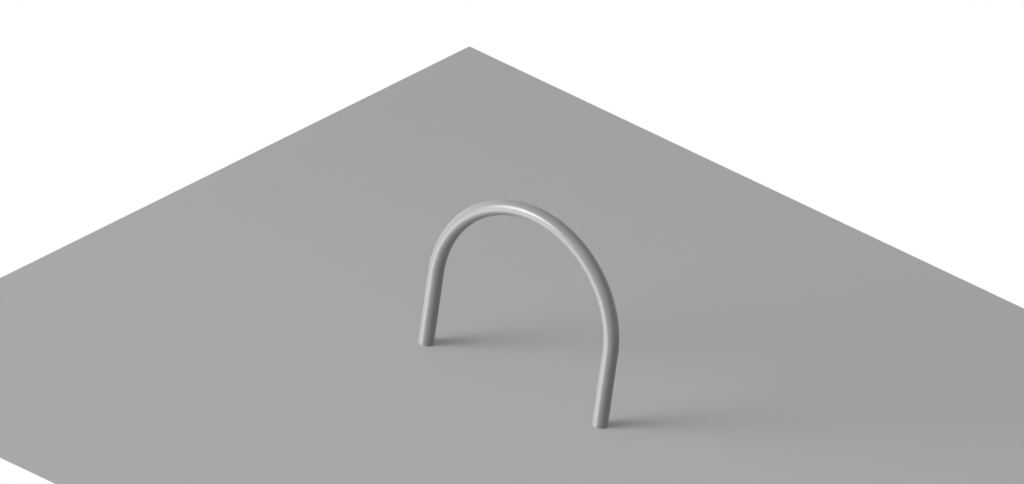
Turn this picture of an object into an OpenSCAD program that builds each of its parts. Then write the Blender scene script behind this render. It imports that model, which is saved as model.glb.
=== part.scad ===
// Hoop bike rack: one bent round tube whose two legs go down through the paving
// and are welded to base plates, each held on the footing by four expansion bolts.
// Millimetres. X runs along the hoop, Y across it, Z up.
// The origin is midway between the legs, at the level of the paving.

/* [Hoop] */
// Height of the top of the hoop above the paving
hoop_h = 750; // [600:5:1000]
// Distance between the centre lines of the two legs
leg_spacing = 832; // [600:2:1000]
// Outside diameter of the tube
tube_d = 60.3; // [48.3:0.1:76.1]
// Thickness of the tube's wall
tube_wall = 2.9; // [2:0.1:5]

/* [Base plates] */
// Depth of the top of the footing, where the plates stand, below the paving
footing_depth = 120; // [100:5:300]
// Width of a plate along the hoop
plate_w = 150; // [140:1:200]
// Width of a plate across the hoop
plate_d = 150; // [140:1:200]
// Thickness of a plate
plate_t = 8; // [5:0.5:15]
// Radius of a plate's corners
plate_corner_r = 12; // [2:0.5:20]
// Diameter of the hole that drains the tube through the plate
drain_d = 25; // [10:1:40]
// Distance from a plate's edges to the centres of its bolt holes
bolt_edge = 20; // [16:0.5:24]
// How much wider a plate's bolt hole is than its bolt
bolt_play = 2; // [0.5:0.5:3]

/* [Welds] */
// Leg length of the weld round the foot of each leg
weld_leg = 5; // [3:0.5:8]

/* [Expansion bolts] */
// Diameter of a bolt's plain shank, which is that of its hole in the footing
bolt_d = 12; // [10:0.5:14]
// Depth of the thread's mean surface, between its crests and roots, below the shank
thread_depth = 0.55; // [0.3:0.05:1]
// Length of bolt in the footing
bolt_embed = 85; // [70:1:160]
// Length of bolt that stands above its nut
bolt_proud = 8; // [3:0.5:20]
// Chamfer on a bolt's ends
bolt_chamfer = 1; // [0.5:0.1:2]
// Diameter of the neck that the expansion sleeve sits on
neck_d = 9; // [7:0.1:9.5]
// Length of the cone that spreads the sleeve
cone_h = 11; // [6:0.5:18]
// Length of the plain end below the cone
tip_h = 6; // [3:0.5:12]
// Length of the expansion sleeve
sleeve_h = 17; // [10:0.5:25]
// Width of a slit in the sleeve
slit_w = 1.5; // [0.8:0.1:2.5]
// Length of the sleeve's unslit end
collar_h = 6; // [3:0.5:9]
// Gap between the sleeve and the neck
sleeve_play = 0.1; // [0.05:0.05:0.4]

/* [Nuts and washers] */
// Width of a nut across its flats
nut_flats = 18; // [17:0.5:24]
// Height of a nut
nut_h = 10.8; // [6:0.1:15]
// Angle by which each nut stands turned from the one before it
nut_turn = 23; // [0:1:59]
// Gap between a nut's thread and its bolt's
thread_play = 0.1; // [0.05:0.05:0.2]
// Diameter of a washer
washer_d = 24; // [20:0.5:28]
// Thickness of a washer
washer_t = 2.5; // [1.5:0.1:4]
// How much wider a washer's hole is than its bolt
washer_play = 1; // [0.4:0.1:2]

/* [Hidden] */
$fn = 96;

steel = [0.60, 0.60, 0.60];
weld_grey = [0.50, 0.49, 0.48];
zinc = [0.70, 0.71, 0.72];

// Sides of the two legs along X
left = -1;
right = 1;

tube_r = tube_d / 2;
// The top of the hoop is a true semicircle from leg to leg
bend_r = leg_spacing / 2;
spring_z = hoop_h - tube_r - bend_r;

// The stack at a foot, from the footing up
plate_bottom = -footing_depth;
plate_top = plate_bottom + plate_t;
washer_top = plate_top + washer_t;
nut_top = washer_top + nut_h;
bolt_top = nut_top + bolt_proud;
bolt_bottom = plate_bottom - bolt_embed;

// The heights at which a bolt's outline changes, from its foot up
cone_bottom = bolt_bottom + tip_h;
neck_bottom = cone_bottom + cone_h;
neck_top = neck_bottom + sleeve_h + sleeve_play;
shank_top = plate_bottom;
thread_r = bolt_d / 2 - thread_depth;

bolt_x = plate_w / 2 - bolt_edge;
bolt_y = plate_d / 2 - bolt_edge;
bolt_corners = [[1, 1], [-1, 1], [-1, -1], [1, -1]];
// How far the cuts run past the faces that they break through
cut = 1;

// A round bar bent to the hoop's shape, with its legs down to the height `foot`
module bent_bar(r, foot) {
    translate([0, 0, spring_z])
        rotate([90, 0, 0])
            rotate_extrude(angle = 180)
                translate([bend_r, 0])
                    circle(r);
    for (side = [left, right])
        translate([side * bend_r, 0, foot])
            cylinder(r = r, h = spring_z - foot);
}

module hoop() {
    color(steel)
        difference() {
            bent_bar(tube_r, plate_top);
            bent_bar(tube_r - tube_wall, plate_top - cut);
        }
}

module rounded_rectangle(w, d, r) {
    square([w - 2 * r, d], center = true);
    square([w, d - 2 * r], center = true);
    for (corner = bolt_corners)
        translate([corner.x * (w / 2 - r), corner.y * (d / 2 - r)])
            circle(r);
}

// Places its children at each of the four bolts of one leg
module at_bolts(side) {
    for (i = [0:3])
        translate([
            side * bend_r + bolt_corners[i].x * bolt_x,
            bolt_corners[i].y * bolt_y,
            0
        ])
            rotate(i * nut_turn)
                children();
}

module base_plate(side) {
    color(steel)
        difference() {
            translate([side * bend_r, 0, plate_bottom])
                linear_extrude(plate_t)
                    rounded_rectangle(plate_w, plate_d, plate_corner_r);
            translate([side * bend_r, 0, plate_bottom - cut])
                cylinder(d = drain_d, h = plate_t + 2 * cut);
            at_bolts(side)
                translate([0, 0, plate_bottom - cut])
                    cylinder(d = bolt_d + bolt_play, h = plate_t + 2 * cut);
        }
}

// A fillet weld in the corner between the tube and the plate, a little convex:
// its face is an arc about a point one leg length inside that corner
module weld(side) {
    face_r = norm([2 * weld_leg, weld_leg]);
    color(weld_grey)
        translate([side * bend_r, 0, plate_top])
            rotate_extrude()
                translate([tube_r, 0])
                    intersection() {
                        square(weld_leg);
                        translate([-weld_leg, -weld_leg])
                            circle(face_r);
                    }
}

// The outline of half a bolt: a plain end, a cone that narrows upwards to the neck,
// the shank, which ends at the footing's top, and the thread drawn at its mean width
module expansion_bolt() {
    shank_r = bolt_d / 2;
    color(zinc)
        rotate_extrude()
            polygon([
                [0, bolt_bottom],
                [shank_r - bolt_chamfer, bolt_bottom],
                [shank_r, bolt_bottom + bolt_chamfer],
                [shank_r, cone_bottom],
                [neck_d / 2, neck_bottom],
                [neck_d / 2, neck_top],
                [shank_r, neck_top],
                [shank_r, shank_top],
                [thread_r, shank_top],
                [thread_r, bolt_top - bolt_chamfer],
                [thread_r - bolt_chamfer, bolt_top],
                [0, bolt_top]
            ]);
}

// A rolled steel sleeve round the neck, slit from its lower end in three places
// so that the cone can spread it when the nut draws the bolt up
module expansion_sleeve() {
    slit_h = sleeve_h - collar_h;
    color(zinc)
        translate([0, 0, neck_bottom])
            difference() {
                cylinder(d = bolt_d, h = sleeve_h);
                translate([0, 0, -cut])
                    cylinder(d = neck_d + 2 * sleeve_play, h = sleeve_h + 2 * cut);
                for (turn = [0, 120, 240])
                    rotate(turn)
                        translate([0, -slit_w / 2, -cut])
                            cube([bolt_d, slit_w, slit_h + cut]);
            }
}

module washer() {
    color(zinc)
        difference() {
            translate([0, 0, plate_top])
                cylinder(d = washer_d, h = washer_t);
            translate([0, 0, plate_top - cut])
                cylinder(d = bolt_d + washer_play, h = washer_t + 2 * cut);
        }
}

// A hexagon nut: its corners are turned down by a 30 degree cone at both ends,
// and its hole is countersunk there to let the thread start
module nut() {
    corner_r = nut_flats / 2 / cos(30);
    chamfer_h = (corner_r - nut_flats / 2) * tan(30);
    hole_r = thread_r + thread_play;
    sink = thread_depth;
    color(zinc)
        translate([0, 0, washer_top])
            difference() {
                intersection() {
                    cylinder(r = corner_r, h = nut_h, $fn = 6);
                    rotate_extrude()
                        polygon([
                            [0, 0],
                            [nut_flats / 2, 0],
                            [corner_r, chamfer_h],
                            [corner_r, nut_h - chamfer_h],
                            [nut_flats / 2, nut_h],
                            [0, nut_h]
                        ]);
                }
                rotate_extrude()
                    polygon([
                        [0, -cut],
                        [hole_r + sink + cut, -cut],
                        [hole_r, sink],
                        [hole_r, nut_h - sink],
                        [hole_r + sink + cut, nut_h + cut],
                        [0, nut_h + cut]
                    ]);
            }
}

hoop();
base_plate(left);  // base_plate_left
base_plate(right);  // base_plate_right
weld(left);  // weld_left
weld(right);  // weld_right
at_bolts(left) expansion_bolt();  // expansion_bolts_left
at_bolts(right) expansion_bolt();  // expansion_bolts_right
at_bolts(left) expansion_sleeve();  // expansion_sleeves_left
at_bolts(right) expansion_sleeve();  // expansion_sleeves_right
at_bolts(left) washer();  // washers_left
at_bolts(right) washer();  // washers_right
at_bolts(left) nut();  // nuts_left
at_bolts(right) nut();  // nuts_right
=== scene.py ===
"""The looks of a hoop bike rack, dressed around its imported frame. Metres.

The sections follow the rack as it is put together: plates, hoop, welds, coating,
bolts with their sleeves, washers and nuts. The paving and the light come last.
"""

import math

import bmesh
import bpy
from mathutils import Matrix, Vector


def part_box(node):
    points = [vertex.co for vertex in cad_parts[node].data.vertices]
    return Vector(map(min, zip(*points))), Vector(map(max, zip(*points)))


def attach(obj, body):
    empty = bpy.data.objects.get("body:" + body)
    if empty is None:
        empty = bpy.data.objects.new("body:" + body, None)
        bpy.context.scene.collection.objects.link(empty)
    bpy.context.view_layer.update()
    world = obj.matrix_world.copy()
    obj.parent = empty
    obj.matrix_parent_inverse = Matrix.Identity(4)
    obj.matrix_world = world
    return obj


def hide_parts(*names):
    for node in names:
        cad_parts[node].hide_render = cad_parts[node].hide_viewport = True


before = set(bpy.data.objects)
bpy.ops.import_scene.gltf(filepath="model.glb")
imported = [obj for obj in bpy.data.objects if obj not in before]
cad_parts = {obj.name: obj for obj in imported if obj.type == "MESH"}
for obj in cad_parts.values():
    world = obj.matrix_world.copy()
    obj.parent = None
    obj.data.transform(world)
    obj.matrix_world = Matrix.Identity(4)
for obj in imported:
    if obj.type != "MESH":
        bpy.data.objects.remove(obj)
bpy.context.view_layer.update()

# The viewpoint: from the front right and above, and tilted a little. It is drawn in
# parallel projection, so that edges that are parallel stay so.
LOOK_AZIMUTH = math.radians(33.8)
LOOK_ELEVATION = math.radians(27.37)
LOOK_TILT = math.radians(8.2)
VIEW_WIDTH = 3.849
VIEW_DISTANCE = 10
AIM_RIGHT = -0.0038
AIM_UP = 0.5329

toward_viewer = Vector((
    math.sin(LOOK_AZIMUTH) * math.cos(LOOK_ELEVATION),
    -math.cos(LOOK_AZIMUTH) * math.cos(LOOK_ELEVATION),
    math.sin(LOOK_ELEVATION),
))
level_right = Vector((math.cos(LOOK_AZIMUTH), math.sin(LOOK_AZIMUTH), 0))
view_right = Matrix.Rotation(LOOK_TILT, 3, toward_viewer) @ level_right
view_up = toward_viewer.cross(view_right)

camera = bpy.data.objects.new("camera", bpy.data.cameras.new("camera"))
camera.data.type = "ORTHO"
camera.data.ortho_scale = VIEW_WIDTH
camera.matrix_world = Matrix((view_right, view_up, toward_viewer)).transposed().to_4x4()
camera.location = (
    AIM_RIGHT * view_right + AIM_UP * view_up + VIEW_DISTANCE * toward_viewer
)
bpy.context.scene.collection.objects.link(camera)
bpy.context.scene.camera = camera


# The two base plates: steel, cut from 8 mm plate with rounded corners, four bolt holes
# and a hole that drains the tube. They lie on the footing, below the paving.
PLATE_CORNER_R = 0.012
PLATE_EDGE_R = 0.0008
BOLT_HOLE_R = 0.007
DRAIN_HOLE_R = 0.0125
BOLT_EDGE = 0.020
CORNER_STEPS = 13
BOLT_HOLE_STEPS = 48
DRAIN_HOLE_STEPS = 72
EDGE_STEPS = 3
CUT_EDGE_ANGLE = math.radians(60)
SAME_FACE_ANGLE = 0.01
SMOOTH_ANGLE = math.radians(35)
SIDES = {"left": -1, "right": 1}

plate_low, plate_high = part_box("base_plate_right")
LEG_X = (plate_low.x + plate_high.x) / 2
plate_half = Vector((plate_high.x - LEG_X, plate_high.y))
bolt_offset = plate_half - Vector((BOLT_EDGE, BOLT_EDGE))
CORNERS = [(1, 1), (-1, 1), (-1, -1), (1, -1)]


def ring(centre, radius, count, first=0.0, turn=2 * math.pi):
    """Points on an arc about a centre in the plane."""
    steps = count if turn == 2 * math.pi else count - 1
    return [
        Vector((
            centre[0] + radius * math.cos(first + turn * i / steps),
            centre[1] + radius * math.sin(first + turn * i / steps),
        ))
        for i in range(count)
    ]


def add_piece(name, mesh, slot, *nodes):
    """Puts a finished mesh on the rack, in the place of the nodes named."""
    piece = bpy.data.objects.new(name, mesh)
    bpy.context.scene.collection.objects.link(piece)
    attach(piece, "root")
    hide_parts(*nodes)
    return piece


def finished_mesh(name, shape):
    """Turns a built shape into a mesh, smooth apart from its sharp edges."""
    bmesh.ops.recalc_face_normals(shape, faces=shape.faces[:])
    mesh = bpy.data.meshes.new(name)
    shape.to_mesh(mesh)
    shape.free()
    mesh.shade_smooth()
    mesh.set_sharp_from_angle(angle=SMOOTH_ANGLE)
    return mesh


def plate_mesh(side):
    """A flat plate with its holes, whose cut edges are eased all round."""
    centre = Vector((side * LEG_X, 0))
    outline = []
    for i, corner in enumerate(CORNERS):
        inset = plate_half - Vector((PLATE_CORNER_R, PLATE_CORNER_R))
        middle = centre + Vector((corner[0] * inset.x, corner[1] * inset.y))
        outline += ring(
            middle, PLATE_CORNER_R, CORNER_STEPS, i * math.pi / 2, math.pi / 2
        )
    loops = [outline, ring(centre, DRAIN_HOLE_R, DRAIN_HOLE_STEPS)]
    for corner in CORNERS:
        place = centre + Vector((corner[0] * bolt_offset.x, corner[1] * bolt_offset.y))
        loops.append(ring(place, BOLT_HOLE_R, BOLT_HOLE_STEPS))
    shape = bmesh.new()
    for points in loops:
        corners = [shape.verts.new((p.x, p.y, plate_low.z)) for p in points]
        for a, b in zip(corners, corners[1:] + corners[:1]):
            shape.edges.new((a, b))
    bmesh.ops.triangle_fill(shape, edges=shape.edges[:], use_beauty=True)
    raised = bmesh.ops.extrude_face_region(shape, geom=shape.faces[:])["geom"]
    thickness = plate_high.z - plate_low.z
    for vert in (v for v in raised if isinstance(v, bmesh.types.BMVert)):
        vert.co.z += thickness
    bmesh.ops.recalc_face_normals(shape, faces=shape.faces[:])
    bmesh.ops.dissolve_limit(
        shape, angle_limit=SAME_FACE_ANGLE, verts=shape.verts[:], edges=shape.edges[:]
    )
    rims = [
        e for e in shape.edges
        if len(e.link_faces) == 2 and e.calc_face_angle() > CUT_EDGE_ANGLE
    ]
    bmesh.ops.bevel(
        shape, geom=rims, offset=PLATE_EDGE_R, segments=EDGE_STEPS, affect="EDGES"
    )
    return finished_mesh("base_plate", shape)


coated = []
for word, side in SIDES.items():
    plate = add_piece(
        f"base_plate_with_eased_edges_{word}", plate_mesh(side), "plate",
        f"base_plate_{word}",
    )
    coated.append(plate)


# The hoop: one length of 60.3 mm round steel tube with a 2.9 mm wall, bent over half
# a circle on a mandrel. Its cut ends stand on the plates, one over each drain hole.
TUBE_R = 0.03015
TUBE_WALL = 0.0029
ROUND_STEPS = 144
LEG_STEPS = 24
BEND_STEPS = 192

hoop_low, hoop_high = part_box("hoop")
bend_r = LEG_X
spring_z = hoop_high.z - TUBE_R - bend_r


def tube_stations():
    """Middle and outward direction of the tube at each step, from foot to foot."""
    stations = []
    for i in range(LEG_STEPS):
        z = hoop_low.z + (spring_z - hoop_low.z) * i / LEG_STEPS
        stations.append((Vector((-bend_r, 0, z)), Vector((-1, 0, 0))))
    for i in range(BEND_STEPS + 1):
        turn = math.pi * (1 - i / BEND_STEPS)
        outward = Vector((math.cos(turn), 0, math.sin(turn)))
        stations.append((bend_r * outward + Vector((0, 0, spring_z)), outward))
    for i in reversed(range(LEG_STEPS)):
        z = hoop_low.z + (spring_z - hoop_low.z) * i / LEG_STEPS
        stations.append((Vector((bend_r, 0, z)), Vector((1, 0, 0))))
    return stations


def bridge(shape, first, second):
    """Faces between two rings of as many corners."""
    count = len(first)
    for i in range(count):
        j = (i + 1) % count
        shape.faces.new((first[i], first[j], second[j], second[i]))


def hoop_mesh():
    """The tube's outside and bore, joined by flat rings at its two ends."""
    across = Vector((0, 1, 0))
    shape = bmesh.new()
    skins = []
    for radius in (TUBE_R, TUBE_R - TUBE_WALL):
        rings = []
        for middle, outward in tube_stations():
            rings.append([
                shape.verts.new(middle + p.x * outward + p.y * across)
                for p in ring((0, 0), radius, ROUND_STEPS)
            ])
        for a, b in zip(rings, rings[1:]):
            bridge(shape, a, b)
        skins.append(rings)
    for end in (0, -1):
        bridge(shape, skins[0][end], skins[1][end])
    return finished_mesh("hoop", shape)


coated.append(add_piece("bent_tube", hoop_mesh(), "tube", "hoop"))


# The welds: one fillet bead round the foot of each leg, in the corner between tube
# and plate. It was laid in one pass, whose ripples are left as they are.
WELD_LEG = 0.005
RIPPLE_PITCH = 0.0022
RIPPLE_DEPTH = 0.00035
RIPPLE_BOW = 0.9
RIPPLE_STEPS = 7
BEAD_STEPS = 10


def bead_mesh(side):
    """A ring with a slightly convex face that is crossed by bowed ripples."""
    ripples = round(2 * math.pi * (TUBE_R + WELD_LEG / 2) / RIPPLE_PITCH)
    around = ripples * RIPPLE_STEPS
    face_r = math.hypot(2 * WELD_LEG, WELD_LEG)
    low_toe = math.atan2(1, 2)
    shape = bmesh.new()
    rows = [[] for _ in range(BEAD_STEPS + 2)]
    for i in range(around):
        turn = 2 * math.pi * i / around
        outward = Vector((math.cos(turn), math.sin(turn), 0))
        foot = Vector((side * LEG_X, 0, plate_high.z)) + TUBE_R * outward
        rows[0].append(shape.verts.new(foot))
        for j in range(BEAD_STEPS + 1):
            across = 2 * j / BEAD_STEPS - 1
            phase = turn * ripples + RIPPLE_BOW * math.pi * across ** 2
            dip = RIPPLE_DEPTH * (1 - across ** 2) * (0.5 - 0.5 * math.cos(phase))
            angle = math.pi / 4 + across * (math.pi / 4 - low_toe)
            reach = (face_r - dip) * Vector((math.cos(angle), math.sin(angle)))
            rows[j + 1].append(shape.verts.new(
                foot + (reach.x - WELD_LEG) * outward
                + Vector((0, 0, reach.y - WELD_LEG))
            ))
    for first, second in zip(rows, rows[1:] + rows[:1]):
        bridge(shape, first, second)
    return finished_mesh("weld_bead", shape)


for word, side in SIDES.items():
    coated.append(
        add_piece(f"rippled_bead_{word}", bead_mesh(side), "weld", f"weld_{word}")
    )


# The coating: plates, hoop and welds are one weldment, which is powder coated in a
# plain mid grey. It flows out smooth and glossy, with a faint orange peel.
COAT_GREY = (0.26, 0.26, 0.26, 1)
COAT_GREY_THIN = (0.28, 0.28, 0.28, 1)
COAT_ROUGHNESS = 0.20
COAT_ROUGHNESS_SPREAD = 0.06
PATCH_SCALE = 9.0
PATCH_DETAIL = 3.0
PEEL_SCALE = 420.0
PEEL_DETAIL = 1.5
PEEL_DEPTH = 0.000004


class Wire:
    """One socket of a material's nodes. Arithmetic on wires adds Math nodes."""

    def __init__(self, tree, socket=None):
        self.tree = tree
        self.socket = socket

    def node(self, kind, settings=None, inputs=None, output=0):
        """Adds a node of any kind: its settings first, then its sockets."""
        node = self.tree.nodes.new("ShaderNode" + kind)
        for name, value in (settings or {}).items():
            setattr(node, name, value)
        for name, value in (inputs or {}).items():
            if isinstance(value, Wire):
                self.tree.links.new(value.socket, node.inputs[name])
            else:
                node.inputs[name].default_value = value
        return Wire(self.tree, node.outputs[output] if node.outputs else None)

    def math(self, operation, first, second):
        return self.node("Math", {"operation": operation}, {0: first, 1: second})

    def __add__(self, other):
        return self.math("ADD", self, other)

    def __radd__(self, other):
        return self.math("ADD", other, self)

    def __mul__(self, other):
        return self.math("MULTIPLY", self, other)

    def __rmul__(self, other):
        return self.math("MULTIPLY", other, self)


def new_material(name):
    """An empty material and a wire to start its nodes from."""
    material = bpy.data.materials.new(name)
    material.use_nodes = True
    material.node_tree.nodes.clear()
    return material, Wire(material.node_tree)


def powder_coat():
    """A smooth grey coat, a little thinner and rougher in some places."""
    material, start = new_material("grey_powder_coat")
    place = start.node("TexCoord", output="Object")
    patches = start.node("TexNoise", None, {
        "Vector": place, "Scale": PATCH_SCALE, "Detail": PATCH_DETAIL,
    })
    peel = start.node("TexNoise", None, {
        "Vector": place, "Scale": PEEL_SCALE, "Detail": PEEL_DETAIL,
    })
    colour = start.node(
        "Mix", {"data_type": "RGBA"},
        {0: patches, 6: COAT_GREY, 7: COAT_GREY_THIN}, output=2,
    )
    relief = start.node(
        "Bump", None, {"Strength": 1.0, "Distance": PEEL_DEPTH, "Height": peel}
    )
    surface = start.node("BsdfPrincipled", None, {
        "Base Color": colour,
        "Roughness": COAT_ROUGHNESS + COAT_ROUGHNESS_SPREAD * patches,
        "Normal": relief,
    })
    start.node("OutputMaterial", None, {"Surface": surface})
    return material


coat = powder_coat()
for piece in coated:
    piece.data.materials.append(coat)


# The expansion bolts: four M12 ones at each foot, of zinc-plated steel. Each has a
# neck and a cone in the footing, and a thread from there up through the plate.
NUT_TURN = math.radians(23)
BOLT_R = 0.006
THREAD_ROOT_R = 0.00493
THREAD_PITCH = 0.00175
CREST_SHARE = 1 / 8
ROOT_SHARE = 1 / 4
THREAD_ROWS = 8
THREAD_RUNOUT = 0.003
BOLT_STEPS = 48
BOLT_END_R = 0.00445
TIP_H = 0.006
TIP_EASE = 0.001
CONE_H = 0.011
NECK_R = 0.0045
NECK_H = 0.0171
SHANK_EASE = 0.0003
ZINC = (0.60, 0.61, 0.62, 1)
ZINC_DULL = (0.50, 0.51, 0.53, 1)
ZINC_ROUGHNESS = 0.28
ZINC_ROUGHNESS_SPREAD = 0.2
BLOOM_SCALE = 260.0
BLOOM_DETAIL = 4.0

bolt_low, bolt_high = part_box("expansion_bolts_right")


def at_bolts(side):
    """Places of the four bolts of a leg, each turned a little further."""
    for i, corner in enumerate(CORNERS):
        place = Vector((
            side * LEG_X + corner[0] * bolt_offset.x, corner[1] * bolt_offset.y, 0,
        ))
        yield Matrix.Translation(place) @ Matrix.Rotation(i * NUT_TURN, 4, "Z")


def turned(shape, place, rows, steps):
    """Rings of corners round a place's axis. A row gives radius and height at a turn."""
    rings = []
    for row in rows:
        corners = []
        for i in range(steps):
            turn = 2 * math.pi * i / steps
            radius, height = row(turn)
            corners.append(shape.verts.new(place @ Vector((
                radius * math.cos(turn), radius * math.sin(turn), height,
            ))))
        rings.append(corners)
    for first, second in zip(rings, rings[1:]):
        bridge(shape, first, second)
    return rings


def level(radius, height):
    """A row that is a plain circle."""
    return lambda turn: (radius, height)


def thread_r(turn, height, crest, root):
    """Radius of a right-hand thread: flat crests and roots, and straight flanks."""
    along = (height / THREAD_PITCH - turn / (2 * math.pi)) % 1
    from_crest = abs(2 * along - 1)
    flank = 1 - CREST_SHARE - ROOT_SHARE
    fall = min(max((from_crest - CREST_SHARE) / flank, 0), 1)
    return crest + (root - crest) * fall


def bolt_row(height):
    """A row of the bolt's thread, which runs out below and is chamfered above."""
    def row(turn):
        depth = min((height - plate_low.z) / THREAD_RUNOUT, 1)
        root = BOLT_R + (THREAD_ROOT_R - BOLT_R) * depth
        chamfer_r = BOLT_END_R + bolt_high.z - height
        return min(thread_r(turn, height, BOLT_R, root), chamfer_r), height
    return row


def bolts_mesh(side):
    """The four bolts of a leg: tip, cone, neck, shank and thread, from below."""
    cone_z = bolt_low.z + TIP_H
    neck_z = cone_z + CONE_H
    shank_z = neck_z + NECK_H
    rows = [
        level(BOLT_R - TIP_EASE, bolt_low.z),
        level(BOLT_R, bolt_low.z + TIP_EASE),
        level(BOLT_R, cone_z),
        level(NECK_R, neck_z),
        level(NECK_R, shank_z),
        level(BOLT_R - SHANK_EASE, shank_z),
        level(BOLT_R, shank_z + SHANK_EASE),
    ]
    height = plate_low.z
    while height < bolt_high.z - THREAD_PITCH / THREAD_ROWS:
        rows.append(bolt_row(height))
        height += THREAD_PITCH / THREAD_ROWS
    rows.append(bolt_row(bolt_high.z))
    shape = bmesh.new()
    for place in at_bolts(side):
        rings = turned(shape, place, rows, BOLT_STEPS)
        shape.faces.new(rings[0])
        shape.faces.new(rings[-1])
    return finished_mesh("bolts", shape)


def zinc_plate():
    """Bare zinc, bright, with a duller and rougher bloom over parts of it."""
    material, start = new_material("zinc_plate")
    place = start.node("TexCoord", output="Object")
    bloom = start.node("TexNoise", None, {
        "Vector": place, "Scale": BLOOM_SCALE, "Detail": BLOOM_DETAIL,
    })
    colour = start.node(
        "Mix", {"data_type": "RGBA"}, {0: bloom, 6: ZINC, 7: ZINC_DULL}, output=2,
    )
    surface = start.node("BsdfPrincipled", None, {
        "Base Color": colour,
        "Roughness": ZINC_ROUGHNESS + ZINC_ROUGHNESS_SPREAD * bloom,
        "Metallic": 1.0,
    })
    start.node("OutputMaterial", None, {"Surface": surface})
    return material


zinc = zinc_plate()
for word, side in SIDES.items():
    bolts = add_piece(
        f"threaded_bolts_{word}", bolts_mesh(side), "fastener",
        f"expansion_bolts_{word}",
    )
    bolts.data.materials.append(zinc)


# The expansion sleeves: one round the neck of each bolt, rolled from zinc-plated
# sheet steel and slit in three places. The cone spreads it against its hole.
for word in SIDES:
    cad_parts[f"expansion_sleeves_{word}"].material_slots[0].material = zinc


# The washers: one under each nut, stamped from zinc-plated sheet steel, so that the
# edge of one face is rounded and that of the other is nearly square.
WASHER_HOLE_R = 0.0065
WASHER_R = 0.012
WASHER_ROUND = 0.0004
WASHER_ROUND_STEPS = 4
WASHER_BURR = 0.0001
WASHER_STEPS = 64

washer_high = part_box("washers_right")[1]


def washers_mesh(side):
    """The four washers of a leg, rounded at the edges of their upper faces."""
    low, high = plate_high.z, washer_high.z
    turns = [i * math.pi / 2 / WASHER_ROUND_STEPS for i in range(WASHER_ROUND_STEPS + 1)]
    rows = [
        level(WASHER_HOLE_R, low + WASHER_BURR),
        level(WASHER_HOLE_R + WASHER_BURR, low),
        level(WASHER_R - WASHER_BURR, low),
        level(WASHER_R, low + WASHER_BURR),
    ]
    for turn in turns:
        rows.append(level(
            WASHER_R - WASHER_ROUND * (1 - math.cos(turn)),
            high - WASHER_ROUND * (1 - math.sin(turn)),
        ))
    for turn in turns:
        rows.append(level(
            WASHER_HOLE_R + WASHER_ROUND * (1 - math.sin(turn)),
            high - WASHER_ROUND * (1 - math.cos(turn)),
        ))
    shape = bmesh.new()
    for place in at_bolts(side):
        rings = turned(shape, place, rows, WASHER_STEPS)
        bridge(shape, rings[-1], rings[0])
    return finished_mesh("washers", shape)


for word, side in SIDES.items():
    washers = add_piece(
        f"stamped_washers_{word}", washers_mesh(side), "fastener", f"washers_{word}"
    )
    washers.data.materials.append(zinc)


# The nuts: M12 hexagon nuts of zinc-plated steel, one on each bolt. Their corners
# are turned down at both ends, and their thread is that of the bolt.
NUT_FLAT_R = 0.009
NUT_FACE_R = 0.0086
NUT_SLOPE = math.tan(math.radians(30))
NUT_SINK_R = 0.0063
THREAD_PLAY = 0.00006
NUT_STEPS = 72

nut_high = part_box("nuts_right")[1]


def hexagon_r(turn):
    """Radius of a hexagon that has a corner on the X axis."""
    from_flat = (turn % (math.pi / 3)) - math.pi / 6
    return NUT_FLAT_R / math.cos(from_flat)


def hexagon_row(face_z, inward):
    """The edge between the flats and the cone that turns their corners down."""
    def row(turn):
        radius = hexagon_r(turn)
        return radius, face_z + inward * (radius - NUT_FACE_R) * NUT_SLOPE
    return row


def nut_thread_row(height):
    """A row of the nut's thread, which opens into a cone at both ends."""
    def row(turn):
        from_end = min(height - washer_high.z, nut_high.z - height)
        cut_r = thread_r(turn, height, BOLT_R, THREAD_ROOT_R) + THREAD_PLAY
        return max(cut_r, NUT_SINK_R - from_end), height
    return row


def nuts_mesh(side):
    """The four nuts of a leg: their faces and flats, and then the thread inside."""
    low, high = washer_high.z, nut_high.z
    rows = [
        level(NUT_FACE_R, low), hexagon_row(low, 1),
        hexagon_row(high, -1), level(NUT_FACE_R, high),
    ]
    count = round((high - low) / THREAD_PITCH * THREAD_ROWS)
    for i in range(count + 1):
        rows.append(nut_thread_row(high - (high - low) * i / count))
    shape = bmesh.new()
    for place in at_bolts(side):
        rings = turned(shape, place, rows, NUT_STEPS)
        bridge(shape, rings[-1], rings[0])
    return finished_mesh("nuts", shape)


for word, side in SIDES.items():
    nuts = add_piece(
        f"threaded_nuts_{word}", nuts_mesh(side), "fastener", f"nuts_{word}"
    )
    nuts.data.materials.append(zinc)


# The paving: a plain pale square of floor, through which the legs go. Its rim hides
# what is below it, and what the coat mirrors in its place is in the surroundings.
PAVING_WEST = -1.776
PAVING_EAST = 1.776
PAVING_SOUTH = -2.034
PAVING_NORTH = 2.036
PAVING_RIM = 0.25
# The paving's grey, lighter at the front and darker at the back: painted shade, for light
# that falls off towards the back.
PAVING_LIT_FRONT_GREY = (0.618, 0.618, 0.618, 1)
PAVING_SHADED_BACK_GREY = (0.563, 0.563, 0.563, 1)
PAVING_SHADE_FROM = -0.8
PAVING_SHADE_TO = 2.2
PAVING_ROUGHNESS = 0.9
PAVING_SPECULAR = 0.2
RIM_GREY = (0.8, 0.8, 0.8, 1)
WHITE = (1, 1, 1, 1)


def ray_is(start, *kinds):
    """1 for a ray of one of these kinds, which says what the ray comes from, else 0."""
    found = 0
    for kind in kinds:
        found = found + start.node("LightPath", output=f"Is {kind} Ray")
    return found


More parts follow.
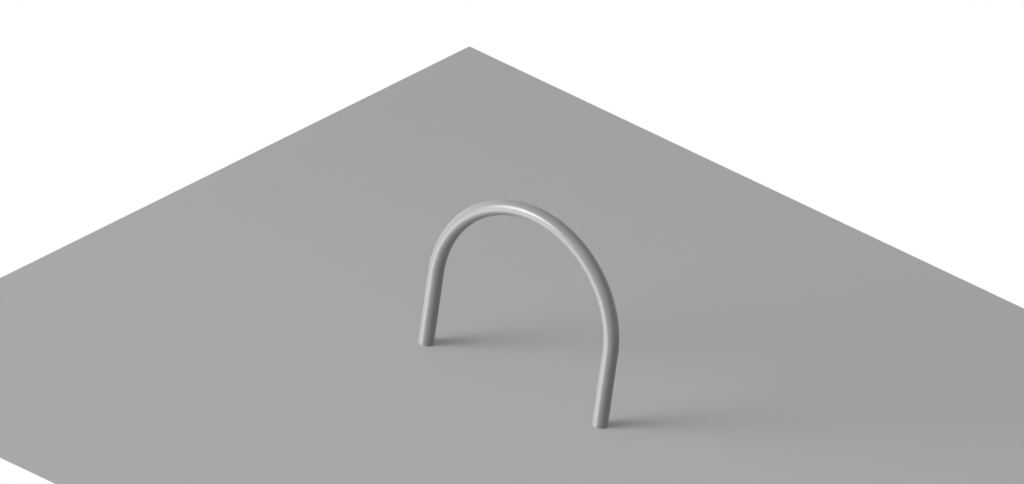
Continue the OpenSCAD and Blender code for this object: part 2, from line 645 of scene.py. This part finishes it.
def paving_material():
    """A dull pale grey with painted shade: it grows a little darker towards the back, as
    the light falls off there.
    """
    material, start = new_material("pale_paving")
    place = start.node("TexCoord", output="Object")
    northward = start.node("SeparateXYZ", None, {"Vector": place}, output=1)
    # Painted shade: the further back a place is, the darker its grey.
    painted_shade = start.node("MapRange", {"interpolation_type": "SMOOTHSTEP"}, {
        "Value": northward, "From Min": PAVING_SHADE_FROM, "From Max": PAVING_SHADE_TO,
    })
    grey = start.node(
        "Mix", {"data_type": "RGBA"},
        {0: painted_shade, 6: PAVING_LIT_FRONT_GREY, 7: PAVING_SHADED_BACK_GREY}, output=2,
    )
    surface = start.node("BsdfPrincipled", None, {
        "Base Color": grey, "Roughness": PAVING_ROUGHNESS,
        "Specular IOR Level": PAVING_SPECULAR,
    })
    start.node("OutputMaterial", None, {"Surface": surface})
    return material


def rim_material():
    """As white to the eye as what is round the paving, but dull to the light."""
    material, start = new_material("white_rim")
    surface = start.node("MixShader", None, {
        0: ray_is(start, "Camera", "Glossy", "Transmission"),
        1: start.node("BsdfDiffuse", None, {"Color": RIM_GREY}),
        2: start.node("Emission", None, {"Color": WHITE, "Strength": 1.0}),
    })
    start.node("OutputMaterial", None, {"Surface": surface})
    return material


def paving_mesh():
    """A square with an upright rim below its edges."""
    corners = [
        (PAVING_WEST, PAVING_SOUTH), (PAVING_EAST, PAVING_SOUTH),
        (PAVING_EAST, PAVING_NORTH), (PAVING_WEST, PAVING_NORTH),
    ]
    shape = bmesh.new()
    top = [shape.verts.new((x, y, 0)) for x, y in corners]
    low = [shape.verts.new((x, y, -PAVING_RIM)) for x, y in corners]
    floor = shape.faces.new(top)
    bridge(shape, low, top)
    for face in shape.faces:
        face.material_index = 0 if face == floor else 1
    mesh = bpy.data.meshes.new("paving")
    shape.to_mesh(mesh)
    shape.free()
    return mesh


paving = bpy.data.objects.new("paving", paving_mesh())
bpy.context.scene.collection.objects.link(paving)
paving.data.materials.append(paving_material())
paving.data.materials.append(rim_material())
paving.visible_glossy = False


# The light: one broad lamp, low at the front left, and an even glow from all round.
# Round the paving all is white. The coat mirrors that, the paving's grey and a few
# soft bright places that stand low down at the front left.
LAMP_FROM = (-124, 14)
LAMP_LEVEL = 1.137
# The lamp's bright middle and dim margin: their width in degrees and share of its light
LAMP_PARTS = {"middle": (18, 0.273), "margin": (42, 0.727)}
GLOW_LEVEL = 0.34
SKY_LEVEL = 0.9
PAVING_LEVEL = 0.395
HORIZON_LOW = -0.25
HORIZON_HIGH = -0.15
# Azimuth and elevation of a place, the angles between which it fades, and its level
BRIGHT_PLACES = [
    ((-127, -29), 6, 20, 3.95),
    ((-127, -29), 12, 50, 1.55),
    ((-165, -20), 35, 60, 0.93),
]


def direction(azimuth, elevation):
    """A unit vector to a place all round, from angles in degrees."""
    around, up = math.radians(azimuth), math.radians(elevation)
    return Vector((
        math.cos(around) * math.cos(up), math.sin(around) * math.cos(up), math.sin(up),
    ))


for word, (width, share) in LAMP_PARTS.items():
    lamp = bpy.data.objects.new(f"lamp_{word}", bpy.data.lights.new(f"lamp_{word}", "SUN"))
    lamp.data.angle = math.radians(width)
    lamp.data.energy = math.pi * LAMP_LEVEL * share
    lamp.rotation_euler = direction(*LAMP_FROM).to_track_quat("Z", "Y").to_euler()
    bpy.context.scene.collection.objects.link(lamp)


def light_of(start, level):
    """White light of a level at which 1 is white."""
    return start.node("Background", None, {"Color": WHITE, "Strength": level})


def nearness(start, place, middle, inner, outer):
    """1 near a direction, falling off smoothly to 0 between two angles from it."""
    along = start.node(
        "VectorMath", {"operation": "DOT_PRODUCT"}, {0: place, 1: direction(*middle)},
        output=1,
    )
    return start.node("MapRange", {"interpolation_type": "SMOOTHSTEP"}, {
        "Value": along,
        "From Min": math.cos(math.radians(outer)),
        "From Max": math.cos(math.radians(inner)),
    })


def mirrored_light(start):
    """What the coat mirrors: the paving below, white above, and the bright places."""
    place = start.node("TexCoord", output="Generated")
    height = start.node("SeparateXYZ", None, {"Vector": place}, output=2)
    above = start.node("MapRange", None, {
        "Value": height, "From Min": HORIZON_LOW, "From Max": HORIZON_HIGH,
    })
    mirrored = start.node("MixShader", None, {
        0: above, 1: light_of(start, PAVING_LEVEL), 2: light_of(start, SKY_LEVEL),
    })
    for middle, inner, outer, level_there in BRIGHT_PLACES:
        bright = start.node("MixShader", None, {
            0: nearness(start, place, middle, inner, outer),
            1: light_of(start, 0.0), 2: light_of(start, level_there),
        })
        mirrored = start.node("AddShader", None, {0: mirrored, 1: bright})
    return mirrored


def surroundings():
    """White to the eye, the mirrored light to the coat, and else an even glow."""
    world = bpy.data.worlds.new("surroundings")
    world.use_nodes = True
    world.node_tree.nodes.clear()
    start = Wire(world.node_tree)
    unseen = start.node("MixShader", None, {
        0: ray_is(start, "Glossy"), 1: light_of(start, GLOW_LEVEL),
        2: mirrored_light(start),
    })
    whole = start.node("MixShader", None, {
        0: ray_is(start, "Camera", "Transmission"), 1: unseen, 2: light_of(start, 1.0),
    })
    start.node("OutputWorld", None, {"Surface": whole})
    return world


bpy.context.scene.world = surroundings()

bpy.context.scene.view_settings.view_transform = "Standard"
